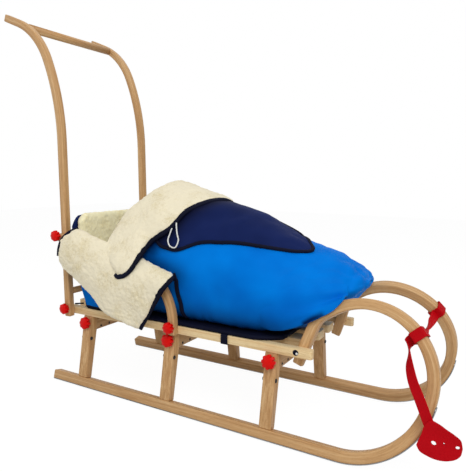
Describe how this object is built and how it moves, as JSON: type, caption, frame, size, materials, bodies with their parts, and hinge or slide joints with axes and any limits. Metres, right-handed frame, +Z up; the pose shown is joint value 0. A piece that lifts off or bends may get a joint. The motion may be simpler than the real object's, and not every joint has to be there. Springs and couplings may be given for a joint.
{
  "type": "push sled",
  "caption": "Child's wooden push sled with curved horns, backrest arms, push handle, lined foot-muff and red pull strap.",
  "frame": {"origin": "on the floor under the middle of the sled", "axes": "+X forward towards the horns, +Y to the sled's left, +Z up"},
  "size_m": [1.1787, 0.401, 0.982],
  "materials": {
    "wood": "satin",
    "slat": "satin",
    "steel": "satin",
    "knob": "gloss",
    "satin": "satin",
    "fleece": "matte",
    "webbing": "matte"
  },
  "bodies": {
    "root": {"arm_left": "wood", "arm_right": "wood", "crossbar_front": "wood", "crossbar_mid": "wood", "crossbar_rear": "wood", "grip": "wood", "hand_pad": "webbing", "knob_arm_end_left": "knob", "knob_arm_end_right": "knob", "knob_arm_foot_left": "knob", "knob_arm_foot_right": "knob", "knob_front_leg_left": "knob", "knob_front_leg_right": "knob", "knob_handle_foot_left": "knob", "knob_handle_foot_right": "knob", "knob_mid_leg_left": "knob", "knob_mid_leg_right": "knob", "knob_rear_leg_left": "knob", "knob_rear_leg_right": "knob", "leg_front_left": "wood", "leg_front_right": "wood", "leg_mid_left": "wood", "leg_mid_right": "wood", "leg_rear_left": "wood", "leg_rear_right": "wood", "muff_back": "fleece", "muff_body": "satin", "muff_collar": "fleece", "rung_lower": "wood", "rung_upper": "wood", "runner_left": "wood", "runner_right": "wood", "side_flap_left": "fleece", "side_flap_right": "fleece", "slat_edge_left": "slat", "slat_edge_right": "slat", "slat_inner_left": "slat", "slat_inner_right": "slat", "slat_middle": "slat", "strap_left": "webbing", "strap_right": "webbing", "strap_wrap_left": "webbing", "strap_wrap_right": "webbing", "strip_left": "steel", "strip_right": "steel", "upright_left": "wood", "upright_right": "wood"}
  },
  "joints": []
}
